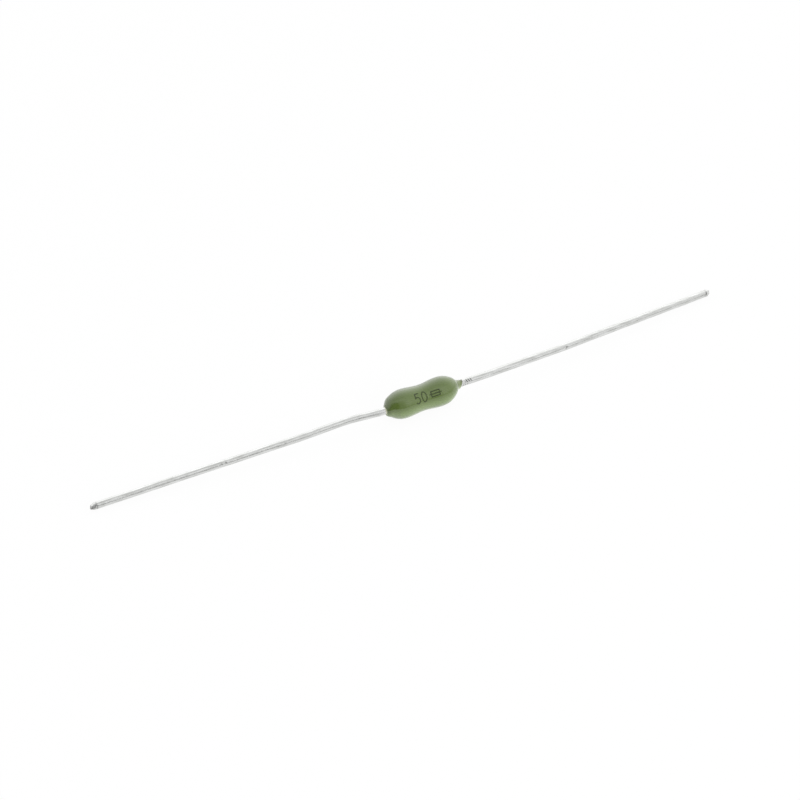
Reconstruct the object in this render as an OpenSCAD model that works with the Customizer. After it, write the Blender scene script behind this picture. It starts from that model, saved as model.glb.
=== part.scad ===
// Axial-lead micro fuse: a fuse wire in a capped ceramic tube, dipped in epoxy,
// with a long tinned lead welded to each cap. It lies on a flat surface.
// Millimetres. X runs along the body, +Z is up, the surface is z = 0 and the
// origin is on it, under the middle of the body.

/* [Coating] */
// Length of the epoxy coating over its rounded ends
body_len = 7.1; // [5.5:0.1:10]
// Diameter of the coating over the two end caps, where it is thickest
body_d = 2.41; // [1.9:0.01:3.4]
// Depth of the waist between the caps, on the radius
waist_dip = 0.13; // [0:0.01:0.2]
// Distance from the coating's end to the crest of the bulge over a cap
crest_inset = 1.85; // [1.6:0.05:2.1]
// Thickness of the coating over an end cap
coat_t = 0.3; // [0.24:0.01:0.4]
// Cover of the coating over the flat end of a cap
end_cover = 0.85; // [0.7:0.05:1.1]
// Length of the collar of epoxy drawn out along the left lead
collar_left = 0.15; // [0.1:0.05:0.3]
// Length of the collar of epoxy drawn out along the right lead
collar_right = 0.55; // [0.2:0.05:0.8]
// Height of the epoxy collar above the lead where it leaves the rounded end
collar_rise = 0.12; // [0.06:0.01:0.2]

/* [Core] */
// Wall of the drawn end caps
cap_t = 0.15; // [0.1:0.01:0.2]
// Thickness of the flat end of a cap
cap_end_t = 0.2; // [0.12:0.01:0.3]
// Overall length of a cap
cap_len = 1.5; // [1.1:0.05:1.8]
// Bore of the ceramic tube
bore_d = 0.8; // [0.5:0.05:0.95]
// Length of the solder plug in each end of the bore
solder_len = 0.5; // [0.3:0.05:0.8]
// Diameter of the fuse wire
wire_d = 0.1; // [0.06:0.01:0.2]

/* [Leads] */
// Diameter of the leads
lead_d = 0.6; // [0.4:0.01:0.72]
// Length of each lead from the end of the coating, measured along the body's axis
lead_len = 26.2; // [20:0.1:40]
// Diameter of the upset where a lead is butt-welded to its cap
weld_d = 0.8; // [0.75:0.01:1]
// Thickness of the welded upset
weld_t = 0.15; // [0.1:0.01:0.3]
// Swelling of the lead, on its radius, where it has been bent
bend_swell = 0.012; // [0.01:0.001:0.02]
// Length of the nipped end that the side cutters leave
nip_len = 0.3; // [0.15:0.05:0.5]
// Width of the edge at the nipped end
nip_edge = 0.16; // [0.08:0.01:0.3]

/* [Hidden] */
$fn = 64;

LEFT = -1;
RIGHT = 1;

axis_z = body_d / 2;                 // the bulges rest on the surface
half_len = body_len / 2;
lead_r = lead_d / 2;
cap_d = body_d - 2 * coat_t;
tube_d = cap_d - 2 * cap_t;          // the tube fits its caps face to face
core_half = half_len - end_cover;    // middle of the body to the outside of a cap
tube_len = 2 * (core_half - cap_end_t);
cap_mouth = core_half - cap_len;     // middle of the body to the rim of a cap
weld_end = core_half + weld_t;
crest_x = half_len - crest_inset;

// The bends of each lead: how far out from the coating, how far to the back,
// and the share of the fall from the body's axis to the surface, which the
// lead's end rests on.
bends_left = [[0.4, 0, 0], [3.05, 0.25, 0.13], [8, 0.37, 0.33], [lead_len, 1.28, 1]];
bends_right = [[0.7, 0, 0], [2.75, 0.04, 0.08], [10.55, 0.46, 0.38], [lead_len, 1.81, 1]];
swell_len = 0.12;                    // length of the swelling at a bend

DOME_STEPS = 14;
WAIST_STEPS = 14;
COLLAR_STEPS = 4;

// Radius of the coating between the crests: a shallow waist
function waist_r(x) = body_d / 2 - waist_dip * (1 + cos(180 * x / crest_x)) / 2;

// The rounded end from its crest to where the epoxy collar takes over: a quarter
// of an ellipse, cut off at the collar's foot. Points are [radius, distance along X].
collar_foot_r = lead_r + collar_rise;
dome_stop = acos(collar_foot_r / axis_z);
function dome(side) = [
    for (i = [0:DOME_STEPS])
        let (a = dome_stop * i / DOME_STEPS)
        [axis_z * cos(a), side * (crest_x + crest_inset * sin(a))]
];

// The collar of epoxy thins to nothing along the lead
function collar(side, length) = [
    for (i = [1:COLLAR_STEPS])
        let (t = i / COLLAR_STEPS)
        [lead_r + collar_rise * pow(1 - t, 2), side * (crest_x + crest_inset * sin(dome_stop) + length * t)]
];

// Outline of the space that the tube, the caps and the welds take up, on one side
function core_steps(side) = [
    [tube_d / 2, side * cap_mouth],
    [cap_d / 2, side * cap_mouth],
    [cap_d / 2, side * core_half],
    [weld_d / 2, side * core_half],
    [weld_d / 2, side * weld_end],
    [lead_r, side * weld_end]
];

function reverse(list) = [for (i = [len(list) - 1:-1:0]) list[i]];

// Turns a solid made along Z to lie along the body's axis, at its height
module on_axis() translate([0, 0, axis_z]) rotate([0, 90, 0]) children();

// A cylinder on the body's axis between two distances from the middle
module rod(d, from, to) on_axis() translate([0, 0, min(from, to)]) cylinder(h = abs(to - from), d = d);

module epoxy_coating()
    color([0.36, 0.40, 0.26])
        on_axis() rotate_extrude() polygon(concat(
            reverse(collar(LEFT, collar_left)),
            reverse(dome(LEFT)),
            [for (i = [1:WAIST_STEPS - 1])
                let (x = crest_x * (2 * i / WAIST_STEPS - 1)) [waist_r(x), x]],
            dome(RIGHT),
            collar(RIGHT, collar_right),
            reverse(core_steps(RIGHT)),
            core_steps(LEFT)
        ));

module ceramic_tube()
    color([0.93, 0.92, 0.88])
        difference() {
            rod(tube_d, -tube_len / 2, tube_len / 2);
            rod(bore_d, -half_len, half_len);
        }

module end_cap(side)
    color([0.80, 0.70, 0.42])
        difference() {
            rod(cap_d, side * cap_mouth, side * core_half);
            rod(tube_d, 0, side * tube_len / 2);
        }

module solder(side)
    color([0.70, 0.71, 0.72])
        difference() {
            rod(bore_d, side * (tube_len / 2 - solder_len), side * tube_len / 2);
            rod(wire_d, 0, side * half_len);
        }

module fuse_wire()
    color([0.75, 0.75, 0.78])
        rod(wire_d, -tube_len / 2, tube_len / 2);

// A point on a lead from its row in the list of bends
function lead_point(side, bend) =
    [side * (half_len + bend[0]), bend[1], axis_z - bend[2] * (axis_z - lead_r)];

// Stands a solid made along Z at one point, facing another
module facing(from, to) {
    way = to - from;
    translate(from) rotate([0, acos(way.z / norm(way)), atan2(way.y, way.x)]) children();
}

// The end of a lead: the cutters press it from both sides to an upright edge
module nipped_rod(length) {
    slope = atan((lead_r - nip_edge / 2) / nip_len);
    difference() {
        cylinder(h = length, r = lead_r);
        for (turn = [0, 180])
            translate([0, 0, length]) rotate([0, 0, turn]) translate([-lead_d, nip_edge / 2, 0])
                rotate([slope, 0, 0]) translate([0, 0, -2 * nip_len]) cube([2 * lead_d, lead_d, 4 * nip_len]);
    }
}

// One straight stretch of a lead. At a bend it stops just short, inside the
// swelling there, which is in line with the stretch before it.
module stretch(from, to, first, last) {
    start = first ? 0 : swell_len / 4;
    length = norm(to - from);
    facing(from, to) {
        translate([0, 0, start])
            if (last) nipped_rod(length - start);
            else cylinder(h = length - start - swell_len / 4, r = lead_r);
        if (!last)
            translate([0, 0, length - swell_len / 2]) cylinder(h = swell_len, r = lead_r + bend_swell);
    }
}

module lead(side, bends)
    color([0.82, 0.83, 0.84]) {
        points = concat([[side * core_half, 0, axis_z]], [for (bend = bends) lead_point(side, bend)]);
        rod(weld_d, side * core_half, side * weld_end);
        for (i = [1:len(points) - 1])
            stretch(points[i - 1], points[i], i == 1, i == len(points) - 1);
    }

module end_cap_left() end_cap(LEFT);
module end_cap_right() end_cap(RIGHT);
module lead_left() lead(LEFT, bends_left);
module lead_right() lead(RIGHT, bends_right);
module solder_left() solder(LEFT);
module solder_right() solder(RIGHT);

epoxy_coating();
ceramic_tube();
end_cap_left();
end_cap_right();
lead_left();
lead_right();
fuse_wire();
solder_left();
solder_right();
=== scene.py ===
"""Axial-lead micro fuse: how it looks. Metres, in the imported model's own frame.

X runs along the body, -Y faces the viewer, +Z is up and the surface is z = 0.
"""

import math

import bmesh
import bpy
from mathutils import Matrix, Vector, noise


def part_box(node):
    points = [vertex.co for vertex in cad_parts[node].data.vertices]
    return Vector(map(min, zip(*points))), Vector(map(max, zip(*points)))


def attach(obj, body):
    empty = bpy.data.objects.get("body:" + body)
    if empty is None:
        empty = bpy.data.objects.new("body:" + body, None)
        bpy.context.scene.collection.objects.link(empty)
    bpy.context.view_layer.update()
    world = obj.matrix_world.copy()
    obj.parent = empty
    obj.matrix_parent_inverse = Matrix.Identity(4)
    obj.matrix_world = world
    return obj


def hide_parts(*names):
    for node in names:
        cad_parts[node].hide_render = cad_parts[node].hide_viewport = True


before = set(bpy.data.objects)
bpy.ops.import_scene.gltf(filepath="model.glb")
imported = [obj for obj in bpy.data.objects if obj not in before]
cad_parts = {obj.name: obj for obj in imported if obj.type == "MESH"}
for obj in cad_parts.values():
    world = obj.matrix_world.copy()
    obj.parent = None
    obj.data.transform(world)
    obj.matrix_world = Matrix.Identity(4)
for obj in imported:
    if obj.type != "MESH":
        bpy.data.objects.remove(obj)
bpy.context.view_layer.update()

MM = 0.001
LEFT, RIGHT = -1, 1

# ---------------------------------------------------------------- sizes, in mm
COLLAR = {LEFT: 0.15, RIGHT: 0.55}      # epoxy drawn out along each lead
COLLAR_RISE = 0.12                      # its height above the lead at the rounded end
COLLAR_BLEND = 8                        # how tightly the rounded end turns into its collar
CREST_INSET = 1.85                      # from the coating's rounded end to a bulge's crest
WAIST_DIP = 0.13                        # depth of the waist between the bulges
WAIST_SAG = 0.035                       # the waist hangs a little below the body's axis
WAIST_SAG_AT, WAIST_SAG_SPAN = 0.6, 1.1    # it is lowest here along the body, and its half length
LUMP, LUMP_SCALE = 0.012, 0.45          # the dipped coating's slow unevenness: height, cycles per mm
LUMP_CIRCLE = 3                         # round the body its noise is read on a circle of this radius
LUMP_FADE = (0.05, 0.4)                 # it starts and is full at these heights above the wire
BELLY = 0.095                           # the coating ran fuller here, low on the viewer's side
BELLY_AT, BELLY_SPAN = math.radians(-50), math.radians(40)
BELLY_FADE = (1.4, 0.2)                 # it fades out between these distances from the coating's ends
BELLY_LOWEST = (-math.pi / 2, -1.1)     # and towards the line that the fuse lies on
# Other uneven places: along the body, half the length, degrees round it, half the width, height
UNEVEN = [
    (-3.0, 0.7, 125, 50, -0.05),        # flatter left shoulder
    (3.78, 0.22, -50, 55, 0.10),        # fillet under the right collar
]
DOME_SHORT = {LEFT: 0.0, RIGHT: 0.08}   # how much sooner a rounded end closes
COLLAR_REACH = {LEFT: (0.85, 0.15), RIGHT: (0.70, 0.30)}    # mean share and its swing round the lead
COLLAR_LONG_AT = math.radians(128)      # the collars reach furthest here: up and to the back
COLLAR_RAGGED, COLLAR_RAGGED_SCALE = 0.07, 2.2    # share that their edges stray, and how finely
END_SHIFT = (0.55, 0.05)                # the coating follows its lead between these from its ends
FILM_AND_HIGHLIGHT = {LEFT: 0.95, RIGHT: 0.10}        # how far the thin collar lets the bright wire through, plus a painted highlight
FILM_AND_HIGHLIGHT_FROM = {LEFT: (0.02, 0.09), RIGHT: (-0.10, 0.10)}    # where the film starts and is full
FILM_AND_HIGHLIGHT_LOW = 0.45                         # the film and its painted highlight are at least this strong below a lead
STAIN_AT = (0.46, math.radians(85))     # a dried stain on the right collar: distance out, angle
STAIN_SIZE = (0.20, 0.9)                # half its length, and half its width in radians
STAIN_SHARE = 0.95                      # its strength
# Sine of the angle on the coating: from where to where the painted light on the underside and the film
# with its painted highlight change
PAINTED_UNDERLIGHT_SPAN = (-0.26, 0.37)
FILM_AND_HIGHLIGHT_LOW_SPAN = (-0.6, 0.2)
COAT_RINGS, COAT_AROUND = 230, 112      # rings along the coating, points in each
COAT_INSET = 0.002                      # the visual coating stops this far short of the CAD's ends
COAT_CROWDING = 0.11                    # its rings are closer together towards the ends
COAT_END_SHARE = 0.9                    # size of a ring just inside each end, as a share of the end's

LEAD_R = 0.3                            # radius of the wire
WELD_R, WELD_LEN = 0.4, 0.15            # upset where the lead is welded to its cap
# The CAD's own bends: how far out from the coating, how far back, and the share of the fall
# from the body's axis to the surface
LEAD_BENDS = {
    LEFT: [(3.05, 0.25, 0.13), (8, 0.37, 0.33), (26.2, 1.28, 1)],
    RIGHT: [(0.7, 0, 0), (2.75, 0.04, 0.08), (10.55, 0.46, 0.38), (26.2, 1.81, 1)],
}
LEAD_EXIT = {LEFT: (-0.12, -0.11), RIGHT: (0, 0)}    # how far off the axis it leaves the coating
LEAD_EXIT_RUN = (0.45, -0.1)            # it runs straight here, measured in from the coating's end
BEND_SPAN, BEND_SAMPLES = 0.7, 8        # each bend is spread over this length of wire, each way
LEAD_AROUND = 32                        # points in each of a lead's rings
WAY_STEP = 0.05                         # the way it runs is taken from this far before to this far past
RING_GAP, RING_GAP_FINE = 0.1, 0.022    # between a lead's rings: plain, and near a mark
FINE_REACH = 0.5                        # the fine rings reach this far each side of a mark
WELD_RINGS = (0.001, 0.08)              # the first two rings past the weld
NIP_CLEAR = 0.02                        # the plain rings stop this far short of the nip
NIP_LEN = {LEFT: 0.32, RIGHT: 0.36}     # the end that the side cutters pressed
NIP_PAST = {LEFT: 0.15, RIGHT: 0.08}    # how far the squeezed metal ran on
NIP_EDGE = {LEFT: 0.22, RIGHT: 0.07}    # half the width of its edge
NIP_TAPER = {LEFT: 0.4, RIGHT: 0.45}    # share by which its edge is shorter than the wire is thick
NIP_TAPER_FROM = 0.3                    # it gets shorter from this share of the nip's length on
NIP_TURN = {LEFT: math.radians(25), RIGHT: math.radians(10)}    # its edge leans from upright
NIP_TURN_OVER = 0.3                     # share of the nip's length over which it comes to lean
NIP_LEAN = {LEFT: 0.25, RIGHT: -0.10}   # how much further it reaches for each mm lower down
NIP_RINGS = 14                          # steps from the round wire to the pressed edge
NIP_STEP, NIP_STEP_OVER = 0.18, 0.06    # the first press: shares of the half width and the nip's length
NIP_RAGGED, NIP_RAGGED_SCALE = 0.05, 6    # how far the edge's torn metal strays, cycles per mm
NIP_RAGGED_FROM = 0.6                   # it is torn from this share of the nip's length on
# Dark spots at the nipped ends, partly bare cut metal and partly painted shade: share of the nip's
# length, height in wire radii, the half size of the spot in each, and its strength
CUT_METAL_AND_SHADE = {
    LEFT: [(0.04, 0, 0.08, 3, 0.5), (1.0, -0.4, 0.30, 0.7, 1.0)],
    RIGHT: [(0.0, 0.45, 0.18, 0.45, 1.0), (-0.4, 0.1, 0.3, 0.3, 0.4)],
}
# Rows of grip marks beside the right collar: the side faced in degrees, and from where to where
GRIPS = [(60, 0.5, 1.3), (-15, 0.28, 1.1)]
GRIP_PITCH, GRIP_DEPTH, GRIP_WIDE = 0.2, 0.075, 0.55    # the last in radians round the wire
GRIP_SLANT = 0.10                       # the marks lean by this much from the front to the top
GRIP_FADE_IN, GRIP_FADE_OUT = 0.1, 0.2    # a row starts and ends over these lengths
GRIP_MIDDLE = 0.8                       # the rings are fine around here
WOBBLE, WOBBLE_SCALE = 0.02, 0.22       # how far the drawn wire strays from straight, cycles per mm
WOBBLE_START, WOBBLE_STOP = (1, 4), (0, 3)    # it sets in between these from the cap, and from the end
DENT_WIDE = 0.6                         # half width of a dent, in radians round the wire
# Dents: distance out, the side it faces in degrees, half length, depth
DENTS = {
    LEFT: [(14.62, 15, 0.09, 0.045), (14.85, 45, 0.10, -0.02), (9.3, 30, 0.15, 0.012)],
    RIGHT: [(10.76, 20, 0.15, 0.085), (9.85, 0, 0.14, 0.025), (4.45, 0, 0.16, 0.03)],
}

INK_W = 0.115                           # width of a printed stroke
INK_LIFT = 0.006                        # height of the ink above the epoxy
INK_H = 0.88                            # height of a printed figure
INK_CENTRE_X = 0.19                     # middle of the print along the body
INK_FACING = math.radians(38)           # angle of the print above the horizontal, at the front
INK_RAGGED, INK_RAGGED_SCALE = 0.14, 5    # share by which a stroke's width wanders, cycles per mm
INK_STEP = 0.03                         # its lines get a point at least this often
# Section of a stroke: share of its half width, share of its lift
INK_SECTION = [(-1, -0.8), (-0.85, 0.5), (-0.4, 1.0), (0.4, 1.0), (0.85, 0.5), (1, -0.8)]

# Places in the noise, apart enough for the two sides to differ, and for back from up
COLLAR_NOISE, WOBBLE_NOISE, WOBBLE_NOISE_UP = 3, 7, 5

WIRE_GAP = 0.0005                       # the least height of a wire's points above the surface
COAT_GAP = 0.001                        # and of the coating's
SHARP_EDGE = math.radians(40)           # faces that meet at more than this keep a crisp edge

CAMERA_AZIMUTH = -29
CAMERA_ELEVATION = 38
CAMERA_DISTANCE = 300 * MM
CAMERA_TARGET = Vector((-1.75, 0.48, 1.2)) * MM
CAMERA_LENS, CAMERA_SENSOR = 161.5, 36  # mm
CAMERA_NEAR, CAMERA_FAR = 0.001, 10     # metres

# ------------------------------------------------------- places from the frame
coat_lo, coat_hi = [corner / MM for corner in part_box("epoxy_coating")]
BODY_R = (coat_hi.z - coat_lo.z) / 2
AXIS_Z = (coat_hi.z + coat_lo.z) / 2
FOOT_R = LEAD_R + COLLAR_RISE
DOME_STOP = math.acos(FOOT_R / BODY_R)
CREST_X = coat_hi.x - COLLAR[RIGHT] - CREST_INSET * math.sin(DOME_STOP)
HALF_LEN = CREST_X + CREST_INSET        # middle of the body to the end of its coating
FOOT_X = coat_hi.x - COLLAR[RIGHT]      # where the rounded end meets the collar
CAP_FACE = {LEFT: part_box("end_cap_left")[0].x / MM, RIGHT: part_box("end_cap_right")[1].x / MM}


# ---------------------------------------------------------------------- helpers
def clamp(value, low, high):
    return max(low, min(high, value))


def smoothstep(low, high, value):
    t = clamp((value - low) / (high - low), 0, 1)
    return t * t * (3 - 2 * t)


def bump_at(value, centre, width):
    """A smooth bump of height 1 at centre, gone a few widths away."""
    return math.exp(-(((value - centre) / width) ** 2))


def rough(x, y, z, scale):
    """Smooth noise from -1 to 1; scale is its cycles per mm."""
    return noise.noise(Vector((x, y, z)) * scale)


def finish_piece(name, bm, material, node=None):
    """Turns a bmesh in mm into an object in metres that rides on the fuse."""
    bmesh.ops.remove_doubles(bm, verts=bm.verts, dist=1e-6)
    bmesh.ops.recalc_face_normals(bm, faces=bm.faces)
    for face in bm.faces:
        face.smooth = True
    for edge in bm.edges:
        if len(edge.link_faces) == 2 and edge.calc_face_angle() > SHARP_EDGE:
            edge.smooth = False
    bmesh.ops.scale(bm, vec=(MM, MM, MM), verts=bm.verts)
    mesh = bpy.data.meshes.new(name)
    bm.to_mesh(mesh)
    bm.free()
    piece = bpy.data.objects.new(name, mesh)
    bpy.context.scene.collection.objects.link(piece)
    mesh.materials.append(material)
    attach(piece, "root")
    if node:
        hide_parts(node)
    return piece


def skin_rings(bm, rings):
    """Joins rings of points, each a list of Vectors of the same length, and closes both ends."""
    made = [[bm.verts.new(point) for point in ring] for ring in rings]
    count = len(made[0])
    for near, far in zip(made, made[1:]):
        for j in range(count):
            k = (j + 1) % count
            bm.faces.new((near[j], near[k], far[k], far[j]))
    for ring in (made[0], made[-1]):
        middle = bm.verts.new(sum((v.co for v in ring), Vector()) / count)
        for j in range(count):
            bm.faces.new((ring[j], ring[(j + 1) % count], middle))


# -------------------------------------------------------------------- materials
NOISE_SPAN = (0.3, 0.7)
MIX_UNDER, MIX_OVER, MIX_RESULT = 6, 7, 2      # a Mix node's sockets when it mixes colours


class Nodes:
    """A material's node tree, with short ways to add and join nodes."""

    def __init__(self, name):
        self.material = bpy.data.materials.new(name)
        self.material.use_nodes = True
        self.tree = self.material.node_tree
        self.shader = self.tree.nodes["Principled BSDF"]

    def add(self, kind, **settings):
        node = self.tree.nodes.new(kind)
        for key, value in settings.items():
            setattr(node, key, value)
        return node

    def join(self, a, out, b, into):
        self.tree.links.new(a.outputs[out], b.inputs[into])

    def coords(self, stretch=(1, 1, 1)):
        """Object coordinates in mm, stretched along each axis."""
        place = self.add("ShaderNodeTexCoord")
        mapping = self.add("ShaderNodeMapping")
        mapping.inputs["Scale"].default_value = [s / MM for s in stretch]
        self.join(place, "Object", mapping, "Vector")
        return mapping

    def noise(self, coords, scale, detail=3.0, roughness=0.5):
        node = self.add("ShaderNodeTexNoise")
        node.inputs["Scale"].default_value = scale
        node.inputs["Detail"].default_value = detail
        node.inputs["Roughness"].default_value = roughness
        self.join(coords, "Vector", node, "Vector")
        return node

    def ramp(self, source, stops):
        """A colour ramp along a noise; stops are (place, colour) pairs."""
        node = self.add("ShaderNodeValToRGB")
        elements = node.color_ramp.elements
        while len(elements) < len(stops):
            elements.new(0.5)
        for element, (place, colour) in zip(elements, stops):
            element.position = place
            element.color = (*colour, 1)
        self.join(source, "Fac", node, "Fac")
        return node

    def spread(self, source, low, high):
        """Maps a noise, which mostly lies within NOISE_SPAN, to another range."""
        node = self.add("ShaderNodeMapRange")
        node.inputs["From Min"].default_value, node.inputs["From Max"].default_value = NOISE_SPAN
        node.inputs["To Min"].default_value = low
        node.inputs["To Max"].default_value = high
        self.join(source, "Fac", node, "Value")
        return node

    def mix(self, share, under, over):
        """Mixes two colours by a node's Fac; each is a plain colour or a colour output."""
        node = self.add("ShaderNodeMix", data_type="RGBA")
        self.join(share, "Fac", node, "Factor")
        for slot, colour in ((MIX_UNDER, under), (MIX_OVER, over)):
            if isinstance(colour, tuple):
                node.inputs[slot].default_value = (*colour, 1)
            else:
                self.tree.links.new(colour, node.inputs[slot])
        return node.outputs[MIX_RESULT]

    def bump(self, source, height_mm, before=None):
        """A bump from a noise, on top of another bump if one is given."""
        node = self.add("ShaderNodeBump")
        node.inputs["Strength"].default_value = 1.0
        node.inputs["Distance"].default_value = height_mm * MM
        self.join(source, "Fac", node, "Height")
        if before:
            self.join(before, "Normal", node, "Normal")
        return node


def srgb(r, g, b):
    """A colour as seen on a screen, 0 to 255, as Blender's linear values."""
    def channel(c):
        c /= 255
        return c / 12.92 if c <= 0.04045 else ((c + 0.055) / 1.055) ** 2.4
    return (channel(r), channel(g), channel(b))


def epoxy_material():
    m = Nodes("epoxy")
    where = m.coords()
    slow = m.noise(where, 0.5, 2.0)
    colour = m.ramp(slow, [(0.3, srgb(80, 100, 30)), (0.7, srgb(85, 105, 40))])
    # The underside's lighter colour is painted light from below.
    under = m.add("ShaderNodeAttribute", attribute_name="under")
    painted_underlight = m.mix(under, colour.outputs["Color"], srgb(112, 135, 71))
    # Near-white on the thin collars: partly the wire seen through the epoxy, partly a painted
    # highlight.
    film = m.add("ShaderNodeAttribute", attribute_name="film")
    thin = m.mix(film, painted_underlight, srgb(230, 232, 200))
    stain = m.add("ShaderNodeAttribute", attribute_name="stain")
    stained = m.mix(stain, thin, srgb(78, 82, 48))
    m.tree.links.new(stained, m.shader.inputs["Base Color"])
    haze = m.noise(where, 3.0, 4.0)
    gloss = m.spread(haze, 0.10, 0.20)
    m.join(gloss, "Result", m.shader, "Roughness")
    m.shader.inputs["IOR"].default_value = 1.55
    m.shader.inputs["Specular IOR Level"].default_value = 0.7
    m.shader.inputs["Sheen Weight"].default_value = 0.68
    m.shader.inputs["Sheen Roughness"].default_value = 0.5
    peel = m.bump(m.noise(where, 4.0, 2.0), 0.004)
    m.join(peel, "Normal", m.shader, "Normal")
    return m.material


def tinned_material():
    m = Nodes("tinned_wire")
    m.shader.inputs["Metallic"].default_value = 1.0
    where = m.coords()
    streaks = m.noise(m.coords((0.4, 3.0, 3.0)), 2.0, 4.0, 0.6)
    tone = m.ramp(streaks, [(0.3, srgb(192, 193, 190)), (0.7, srgb(230, 231, 230))])
    # Dark at the nipped ends: partly bare cut metal, partly painted shade.
    nip_mark = m.add("ShaderNodeAttribute", attribute_name="nip_mark")
    bare_metal_and_shade = m.mix(nip_mark, tone.outputs["Color"], srgb(78, 75, 72))
    m.tree.links.new(bare_metal_and_shade, m.shader.inputs["Base Color"])
    matt = m.noise(where, 2.4, 4.0)
    gloss = m.spread(matt, 0.12, 0.30)
    m.join(gloss, "Result", m.shader, "Roughness")
    drawn = m.bump(streaks, 0.005)
    dents = m.bump(m.noise(where, 3.2, 2.0), 0.014, drawn)
    m.join(dents, "Normal", m.shader, "Normal")
    return m.material


def ink_material():
    m = Nodes("marking_ink")
    patchy = m.noise(m.coords(), 9.0, 3.0)
    tone = m.ramp(patchy, [(0.3, srgb(44, 55, 22)), (0.75, srgb(64, 78, 36))])
    m.join(tone, "Color", m.shader, "Base Color")
    m.shader.inputs["Roughness"].default_value = 0.5
    m.join(m.bump(patchy, 0.003), "Normal", m.shader, "Normal")
    return m.material


def ceramic_material():
    m = Nodes("tube_ceramic")
    grain = m.noise(m.coords(), 14.0, 4.0)
    tone = m.ramp(grain, [(0.35, srgb(233, 229, 220)), (0.7, srgb(244, 242, 236))])
    m.join(tone, "Color", m.shader, "Base Color")
    m.shader.inputs["Roughness"].default_value = 0.6
    m.join(m.bump(grain, 0.004), "Normal", m.shader, "Normal")
    return m.material


def metal_material(name, dark, light, low, high, stretch=(1, 1, 1), scale=6.0):
    m = Nodes(name)
    m.shader.inputs["Metallic"].default_value = 1.0
    grain = m.noise(m.coords(stretch), scale, 4.0)
    tone = m.ramp(grain, [(0.3, dark), (0.7, light)])
    m.join(tone, "Color", m.shader, "Base Color")
    m.join(m.spread(grain, low, high), "Result", m.shader, "Roughness")
    m.join(m.bump(grain, 0.004), "Normal", m.shader, "Normal")
    return m.material


# ---------------------------------------------------------------- epoxy coating
def coat_radius(x):
    """Radius of the coating at x, in mm: a waist between two bulges, rounded ends
    and a collar that thins out along each lead."""
    if abs(x) <= CREST_X:
        return BODY_R - WAIST_DIP * (1 + math.cos(math.pi * x / CREST_X)) / 2
    side = LEFT if x < 0 else RIGHT
    out = (abs(x) - CREST_X) / (CREST_INSET - DOME_SHORT[side])
    dome = BODY_R * math.sqrt(max(0, 1 - out * out))
    t = clamp((abs(x) - FOOT_X) / COLLAR[side], 0, 1)
    collar = LEAD_R + COLLAR_RISE * (1 - t) ** 2
    return (dome ** COLLAR_BLEND + collar ** COLLAR_BLEND) ** (1 / COLLAR_BLEND)


def coat_middle(x):
    """Middle of the coating at x: it sags at the waist, and its ends follow the leads."""
    side = LEFT if x < 0 else RIGHT
    inner, outer = END_SHIFT
    off = smoothstep(HALF_LEN - inner, HALF_LEN - outer, abs(x))
    back, up = LEAD_EXIT[side]
    sag = WAIST_SAG * bump_at(x, WAIST_SAG_AT, WAIST_SAG_SPAN)
    return Vector((x, back * off, AXIS_Z + up * off - sag))


def coat_point(x, angle, lift=0.0):
    """A point on the coating; angle 0 faces the viewer and a quarter turn faces up."""
    out = Vector((0, -math.cos(angle), math.sin(angle)))
    radius = coat_radius(x)
    thin, thick = LUMP_FADE
    body = smoothstep(LEAD_R + thin, LEAD_R + thick, radius)
    radius += LUMP * body * rough(x, LUMP_CIRCLE * out.y, LUMP_CIRCLE * out.z, LUMP_SCALE)
    low = math.remainder(angle, 2 * math.pi)
    belly = bump_at(low, BELLY_AT, BELLY_SPAN) * smoothstep(*BELLY_LOWEST, low)
    inner, outer = BELLY_FADE
    radius += BELLY * belly * (1 - smoothstep(HALF_LEN - inner, HALF_LEN - outer, abs(x)))
    for at, long, round_at, wide, height in UNEVEN:
        turn = math.remainder(angle - math.radians(round_at), 2 * math.pi)
        radius += height * bump_at(x, at, long) * bump_at(turn, 0, math.radians(wide))
    side = LEFT if x < 0 else RIGHT
    past = abs(x) - FOOT_X
    if past > 0:
        mean, swing = COLLAR_REACH[side]
        stray = rough(side * COLLAR_NOISE, math.cos(angle), math.sin(angle), COLLAR_RAGGED_SCALE)
        ragged = COLLAR_RAGGED * stray
        share = mean + swing * math.cos(angle - COLLAR_LONG_AT) + ragged * past / COLLAR[side]
        x = side * (FOOT_X + past * min(share, 1))
    point = coat_middle(x) + out * (radius + lift)
    point.z = max(point.z, COAT_GAP)
    return point


def coat_end(ring, x):
    """A ring just inside an end ring, on the coating's flat end."""
    middle = coat_middle(x)
    return [middle.lerp(point, COAT_END_SHARE) for point in ring]


def make_coating(material):
    start, end = coat_lo.x + COAT_INSET, coat_hi.x - COAT_INSET
    rings = []
    for i in range(COAT_RINGS):
        t = i / (COAT_RINGS - 1)
        x = start + (end - start) * (t - COAT_CROWDING * math.sin(2 * math.pi * t) / math.pi)
        rings.append([coat_point(x, 2 * math.pi * j / COAT_AROUND) for j in range(COAT_AROUND)])
    bm = bmesh.new()
    skin_rings(bm, [coat_end(rings[0], start)] + rings + [coat_end(rings[-1], end)])
    piece = finish_piece("epoxy_body", bm, material, "epoxy_coating")
    paint_ends(piece.data)
    return piece


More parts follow.
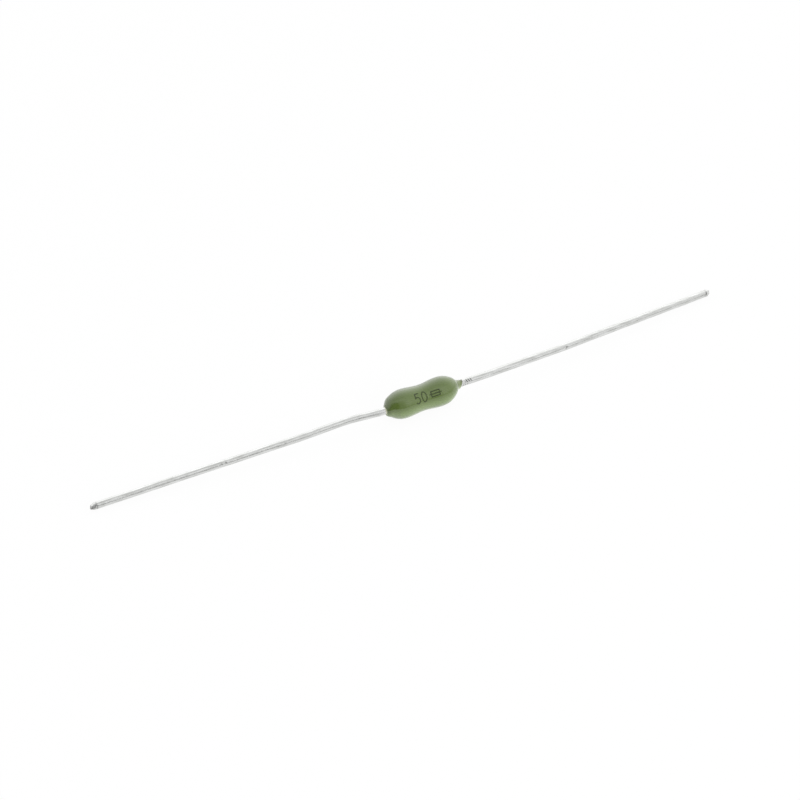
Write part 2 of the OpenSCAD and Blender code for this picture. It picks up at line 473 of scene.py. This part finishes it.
def paint_ends(mesh):
    """Marks the painted light on the underside, the thin film at the ends with its painted highlight,
    and the stain, for the material.
    """
    under = mesh.attributes.new("under", "FLOAT", "POINT")
    film = mesh.attributes.new("film", "FLOAT", "POINT")
    stain = mesh.attributes.new("stain", "FLOAT", "POINT")
    for i, vertex in enumerate(mesh.vertices):
        x, y, z = vertex.co / MM
        side = LEFT if x < 0 else RIGHT
        middle = coat_middle(x)
        angle = math.atan2(z - middle.z, -(y - middle.y))
        # The coating is lighter towards its underside: painted light from below.
        under.data[i].value = 1 - smoothstep(*PAINTED_UNDERLIGHT_SPAN, math.sin(angle))
        # The film's near-white, partly a painted highlight, stays strong below a lead.
        film_and_highlight_share = max(FILM_AND_HIGHLIGHT[side], FILM_AND_HIGHLIGHT_LOW * (1 - smoothstep(*FILM_AND_HIGHLIGHT_LOW_SPAN, math.sin(angle))))
        film.data[i].value = film_and_highlight_share * smoothstep(*FILM_AND_HIGHLIGHT_FROM[side], abs(x) - FOOT_X)
        if side == RIGHT:
            reach, at = STAIN_AT
            long, wide = STAIN_SIZE
            spot = bump_at(abs(x) - FOOT_X, reach, long) * bump_at(angle, at, wide)
            stain.data[i].value = STAIN_SHARE * spot


# ------------------------------------------------------------------------ leads
class LeadCurve:
    """The line along a lead's middle, with its bends rounded; s is in mm from the cap."""

    def __init__(self, side):
        back, up = LEAD_EXIT[side]
        self.side = side
        self.corners = [Vector((CAP_FACE[side], 0, AXIS_Z))]
        for inset in LEAD_EXIT_RUN:
            self.corners.append(Vector((side * (HALF_LEN - inset), back, AXIS_Z + up)))
        for out, back, fall in LEAD_BENDS[side]:
            height = AXIS_Z - fall * (AXIS_Z - LEAD_R)
            self.corners.append(Vector((side * (HALF_LEN + out), back, height)))
        self.lengths = [(b - a).length for a, b in zip(self.corners, self.corners[1:])]
        self.total = sum(self.lengths)
        self.hidden = HALF_LEN - abs(CAP_FACE[side])

    def on_corners(self, s):
        for a, b, length in zip(self.corners, self.corners[1:], self.lengths):
            if s <= length:
                return a.lerp(b, s / length)
            s -= length
        return self.corners[-1]

    def at(self, s):
        reach = min(BEND_SPAN, s, self.total - s)
        steps = range(-BEND_SAMPLES, BEND_SAMPLES + 1)
        spots = [self.on_corners(s + reach * k / BEND_SAMPLES) for k in steps]
        point = sum(spots, Vector()) / len(spots)
        loose = smoothstep(*WOBBLE_START, s) * smoothstep(*WOBBLE_STOP, self.total - s)
        place = self.side * WOBBLE_NOISE
        point.y += WOBBLE * loose * rough(s, place, 0, WOBBLE_SCALE)
        point.z += WOBBLE * loose * rough(s, place, WOBBLE_NOISE_UP, WOBBLE_SCALE)
        return point

    def frame(self, s):
        """Where the lead's middle is, the way it runs, and level and upright vectors."""
        a, b = max(s - WAY_STEP, 0), min(s + WAY_STEP, self.total)
        way = (self.at(b) - self.at(a)).normalized()
        level = way.cross(Vector((0, 0, 1))).normalized() * self.side
        return self.at(s), way, level, Vector((0, 0, 1)) - way * way.z


def lead_radius(side, out, angle):
    """Radius of a lead, with its grip marks and dents; angle 0 faces the viewer."""
    radius = LEAD_R
    for at, facing, half, depth in DENTS[side]:
        turn = math.remainder(angle - math.radians(facing), 2 * math.pi)
        radius -= depth * bump_at(out, at, half) * bump_at(turn, 0, DENT_WIDE)
    if side == RIGHT:
        wave = max(0, math.cos(2 * math.pi * (out + GRIP_SLANT * math.sin(angle)) / GRIP_PITCH))
        for facing, start, end in GRIPS:
            turn = math.remainder(angle - math.radians(facing), 2 * math.pi)
            fade = smoothstep(start, start + GRIP_FADE_IN, out)
            fade *= smoothstep(0, GRIP_FADE_OUT, end - out)
            radius -= GRIP_DEPTH * wave * fade * bump_at(turn, 0, GRIP_WIDE)
    return radius


def lead_stations(side, curve):
    """Distances along a lead at which it gets a ring: closer where it has fine detail."""
    first, second = WELD_RINGS
    stations = [0.0, WELD_LEN, WELD_LEN + first]
    s = WELD_LEN + second
    busy = [at for at, _, _, _ in DENTS[side]] + ([GRIP_MIDDLE] if side == RIGHT else [])
    while s < curve.total - NIP_LEN[side] - NIP_CLEAR:
        stations.append(s)
        near = min(abs(s - curve.hidden - at) for at in busy)
        s += RING_GAP_FINE if near < FINE_REACH else RING_GAP
    return stations


def nip_ring(curve, t):
    """A ring of the nipped end: at t = 0 the round wire, at t = 1 its pressed edge."""
    side = curve.side
    back = NIP_LEN[side] * (1 - t)
    middle, way, level, up = curve.frame(curve.total - back)
    middle += way * NIP_PAST[side] * t
    turn = NIP_TURN[side] * smoothstep(0, NIP_TURN_OVER, t)
    front = level * math.cos(turn) + up * math.sin(turn)
    top = up * math.cos(turn) - level * math.sin(turn)
    narrow = LEAD_R * (1 - NIP_STEP * smoothstep(0, NIP_STEP_OVER, t))
    half_width = narrow + (NIP_EDGE[side] - narrow) * t
    ring = []
    for j in range(LEAD_AROUND):
        a = 2 * math.pi * j / LEAD_AROUND
        across = clamp(LEAD_R * math.cos(a), -half_width, half_width)
        shrink = NIP_TAPER[side] * smoothstep(NIP_TAPER_FROM, 1, t)
        height = LEAD_R * math.sin(a) * (1 - shrink)
        nip_mark = NIP_RAGGED * rough(across, height, side, NIP_RAGGED_SCALE)
        nip_mark *= smoothstep(NIP_RAGGED_FROM, 1, t)
        p = middle + front * across + top * height + way * (nip_mark - NIP_LEAN[side] * height * t)
        p.z = max(p.z, WIRE_GAP)
        ring.append(p)
    return ring


def make_lead(side, material):
    curve = LeadCurve(side)
    rings = []
    for s in lead_stations(side, curve):
        middle, way, level, up = curve.frame(s)
        ring = []
        for j in range(LEAD_AROUND):
            a = 2 * math.pi * j / LEAD_AROUND
            radius = WELD_R if s <= WELD_LEN else lead_radius(side, s - curve.hidden, a)
            p = middle + (level * math.cos(a) + up * math.sin(a)) * radius
            p.z = max(p.z, WIRE_GAP)
            ring.append(p)
        rings.append(ring)
    rings += [nip_ring(curve, i / NIP_RINGS) for i in range(NIP_RINGS + 1)]
    bm = bmesh.new()
    skin_rings(bm, rings)
    name = "left" if side == LEFT else "right"
    piece = finish_piece("lead_wire_" + name, bm, material, "lead_" + name)
    paint_lead(piece.data, curve)
    return piece


def paint_lead(mesh, curve):
    """Marks the dark spots at the wire's nipped end, partly bare cut metal and partly painted shade,
    for the material to use.
    """
    side = curve.side
    nip_mark = mesh.attributes.new("nip_mark", "FLOAT", "POINT")
    end, way, level, up = curve.frame(curve.total)
    for i, vertex in enumerate(mesh.vertices):
        off = vertex.co / MM - end
        t = (NIP_LEN[side] + off.dot(way)) / (NIP_LEN[side] + NIP_PAST[side])
        height = off.dot(up) / LEAD_R
        nip_mark.data[i].value = max(
            strength * bump_at(t, at, length) * bump_at(height, level_at, tall)
            for at, level_at, length, tall, strength in CUT_METAL_AND_SHADE[side])


# ---------------------------------------------------------------------- marking
def arc(cx, cy, rx, ry, start, end, steps):
    """Points of an elliptical arc; angles in degrees, anticlockwise from the right."""
    points = []
    for i in range(steps + 1):
        a = math.radians(start + (end - start) * i / steps)
        points.append((cx + rx * math.cos(a), cy + ry * math.sin(a)))
    return points


# Strokes in a box one figure high; a figure is about half as wide
FIVE = [[(0.5, 1.0), (0.1, 1.0), (0.06, 0.56)] + arc(0.26, 0.33, 0.26, 0.31, 130, -140, 18)]
NOUGHT = [arc(0.28, 0.5, 0.25, 0.5, 90, 450, 30)]
FUSE_SIGN = [
    [(0.0, 0.5), (1.25, 0.5)],
    [(0.2, 0.24), (1.05, 0.24), (1.05, 0.76), (0.2, 0.76), (0.2, 0.24)],
]
PRINT = [(0.0, FIVE), (0.75, NOUGHT), (1.58, FUSE_SIGN)]
PRINT_WIDTH = 2.83                      # from the first stroke to the last, in figure heights


def dense(points):
    """The same line with a point at least every INK_STEP."""
    out = [points[0]]
    for a, b in zip(points, points[1:]):
        n = max(1, math.ceil(math.dist(a, b) / INK_STEP))
        for i in range(1, n + 1):
            out.append((a[0] + (b[0] - a[0]) * i / n, a[1] + (b[1] - a[1]) * i / n))
    return out


def ink_rings(flat, offset):
    """Rings of a stroke laid on the coating; flat is its line, in mm along and across."""
    rings = []
    for i, (u, v) in enumerate(flat):
        ua, va = flat[max(i - 1, 0)]
        ub, vb = flat[min(i + 1, len(flat) - 1)]
        run = math.hypot(ub - ua, vb - va) or 1
        across = (-(vb - va) / run, (ub - ua) / run)
        width = INK_W / 2 * (1 + INK_RAGGED * rough(u, v, offset, INK_RAGGED_SCALE))
        ring = []
        for side, rise in INK_SECTION:
            x = INK_CENTRE_X + u + across[0] * side * width
            y = v + across[1] * side * width
            angle = INK_FACING + y / coat_radius(x)
            ring.append(coat_point(x, angle, INK_LIFT * rise))
        rings.append(ring)
    return rings


def make_marking(material):
    bm = bmesh.new()
    for offset, figure in PRINT:
        for stroke in figure:
            line = [(INK_H * (x + offset - PRINT_WIDTH / 2), INK_H * (y - 0.5)) for x, y in stroke]
            skin_rings(bm, ink_rings(dense(line), offset))
    return finish_piece("marking", bm, material)


# ------------------------------------------------------------------------ stage
FLOOR_WHITE = 0.95                      # share of the floor's plain white in what the camera sees
FLOOR_PAINT = 0.95                      # how white its paint is to every other ray
FLOOR_HALF = 1.5                        # half its width, in metres


def make_floor():
    mesh = bpy.data.meshes.new("floor")
    corners = [(FLOOR_HALF * x, FLOOR_HALF * y, 0) for x, y in ((-1, -1), (1, -1), (1, 1), (-1, 1))]
    mesh.from_pydata(corners, [], [(0, 1, 2, 3)])
    floor = bpy.data.objects.new("floor", mesh)
    bpy.context.scene.collection.objects.link(floor)
    m = Nodes("floor_white")
    tree = m.tree
    tree.nodes.remove(m.shader)
    plain = m.add("ShaderNodeBsdfDiffuse")
    plain.inputs["Color"].default_value = (FLOOR_PAINT, FLOOR_PAINT, FLOOR_PAINT, 1)
    glow = m.add("ShaderNodeEmission")
    rays = m.add("ShaderNodeLightPath")
    seen = m.add("ShaderNodeMath", operation="MAXIMUM")
    m.join(rays, "Is Camera Ray", seen, 0)
    m.join(rays, "Is Glossy Ray", seen, 1)
    share = m.add("ShaderNodeMath", operation="MULTIPLY")
    m.join(seen, "Value", share, 0)
    share.inputs[1].default_value = FLOOR_WHITE
    mix = m.add("ShaderNodeMixShader")
    m.join(share, "Value", mix, "Fac")
    m.join(plain, "BSDF", mix, 1)
    m.join(glow, "Emission", mix, 2)
    m.join(mix, "Shader", tree.nodes["Material Output"], "Surface")
    mesh.materials.append(m.material)


def from_camera(azimuth, elevation):
    """A direction, turned from the camera's own heading; azimuth 180 is behind the fuse."""
    a, e = math.radians(CAMERA_AZIMUTH + azimuth), math.radians(elevation)
    return Vector((math.sin(a) * math.cos(e), -math.cos(a) * math.cos(e), math.sin(e)))


# A white studio, dimmer in front where the viewer stands. Each row is a direction, the angles
# away from it at which a change of light starts and is full, and that change: more light, or
# less where it is negative.
STUDIO_BASE = 0.9
STUDIO = [
    (from_camera(180, 0), 90, 0, 0.7),      # the backdrop
    (from_camera(20, 45), 50, 20, 0.3),     # a soft light above and beside the viewer
    (from_camera(0, 90), 50, 15, -0.2),     # the ceiling
    (from_camera(0, 90), 80, 90, -0.7),     # the room's dim skirting, all round
    (from_camera(0, 20), 52, 24, -0.7),     # the viewer
    (from_camera(-26, 22), 42, 28, -0.5),   # the viewer's dark stand
]
STUDIO_DARKEST = 0.02                   # no direction is darker than this

LAMP_SIZE, LAMP_ENERGY = 0.35, 1.5      # metres, watts
LAMP_DISTANCE, LAMP_RAISED = 0.5, 0.12  # metres
LAMP_PLACE = from_camera(60, 6) * LAMP_DISTANCE + Vector((0, 0, LAMP_RAISED))


def make_world():
    world = bpy.data.worlds.new("studio")
    bpy.context.scene.world = world
    world.use_nodes = True
    nodes, links = world.node_tree.nodes, world.node_tree.links
    way = nodes.new("ShaderNodeTexCoord")

    def math_node(operation, a, b):
        node = nodes.new("ShaderNodeMath")
        node.operation = operation
        for slot, value in enumerate((a, b)):
            if isinstance(value, float):
                node.inputs[slot].default_value = value
            else:
                links.new(value, node.inputs[slot])
        return node.outputs["Value"]

    light = STUDIO_BASE
    for direction, start, full, amount in STUDIO:
        dot = nodes.new("ShaderNodeVectorMath")
        dot.operation = "DOT_PRODUCT"
        dot.inputs[1].default_value = direction
        links.new(way.outputs["Generated"], dot.inputs[0])
        fade = nodes.new("ShaderNodeMapRange")
        fade.interpolation_type = "LINEAR" if full == 0 else "SMOOTHSTEP"
        fade.inputs["From Min"].default_value = math.cos(math.radians(start))
        fade.inputs["From Max"].default_value = math.cos(math.radians(full))
        fade.inputs["To Max"].default_value = amount
        links.new(dot.outputs["Value"], fade.inputs["Value"])
        light = math_node("ADD", light, fade.outputs["Result"])
    light = math_node("MAXIMUM", light, STUDIO_DARKEST)
    rays = nodes.new("ShaderNodeLightPath")
    light = math_node("MAXIMUM", light, rays.outputs["Is Camera Ray"])
    links.new(light, nodes["Background"].inputs["Strength"])
    nodes["Background"].inputs["Color"].default_value = (1, 1, 1, 1)


def make_lamp():
    """A soft lamp low on the right; nothing mirrors it."""
    lamp = bpy.data.lights.new("softbox", "AREA")
    lamp.shape = "DISK"
    lamp.size = LAMP_SIZE
    lamp.energy = LAMP_ENERGY
    item = bpy.data.objects.new("softbox", lamp)
    item.location = LAMP_PLACE
    item.rotation_mode = "QUATERNION"
    item.rotation_quaternion = LAMP_PLACE.to_track_quat("Z", "Y")
    item.visible_glossy = False
    bpy.context.scene.collection.objects.link(item)


def make_camera():
    data = bpy.data.cameras.new("camera")
    data.lens = CAMERA_LENS
    data.sensor_width = CAMERA_SENSOR
    data.clip_start, data.clip_end = CAMERA_NEAR, CAMERA_FAR
    camera = bpy.data.objects.new("camera", data)
    back = from_camera(0, CAMERA_ELEVATION)
    camera.location = CAMERA_TARGET + back * CAMERA_DISTANCE
    camera.rotation_mode = "QUATERNION"
    camera.rotation_quaternion = back.to_track_quat("Z", "Y")
    bpy.context.scene.collection.objects.link(camera)
    bpy.context.scene.camera = camera


# --------------------------------------------------------------------- assembly
bpy.context.scene.view_settings.view_transform = "Standard"
make_camera()
make_world()
make_lamp()
make_floor()

epoxy = epoxy_material()
wire = tinned_material()
make_coating(epoxy)
make_marking(ink_material())
for side in (LEFT, RIGHT):
    make_lead(side, wire)

brass = metal_material("cap_brass", srgb(196, 168, 104), srgb(222, 198, 134), 0.25, 0.4)
solder = metal_material("solder", srgb(150, 150, 150), srgb(190, 190, 190), 0.3, 0.5)
element = metal_material(
    "fuse_metal", srgb(205, 205, 210), srgb(225, 225, 230), 0.2, 0.3, (0.2, 1, 1), 30)
inner = {
    "ceramic_tube": ceramic_material(), "end_cap_left": brass, "end_cap_right": brass,
    "solder_left": solder, "solder_right": solder, "fuse_wire": element,
}
for name, material in inner.items():
    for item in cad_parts[name].material_slots:
        item.material = material
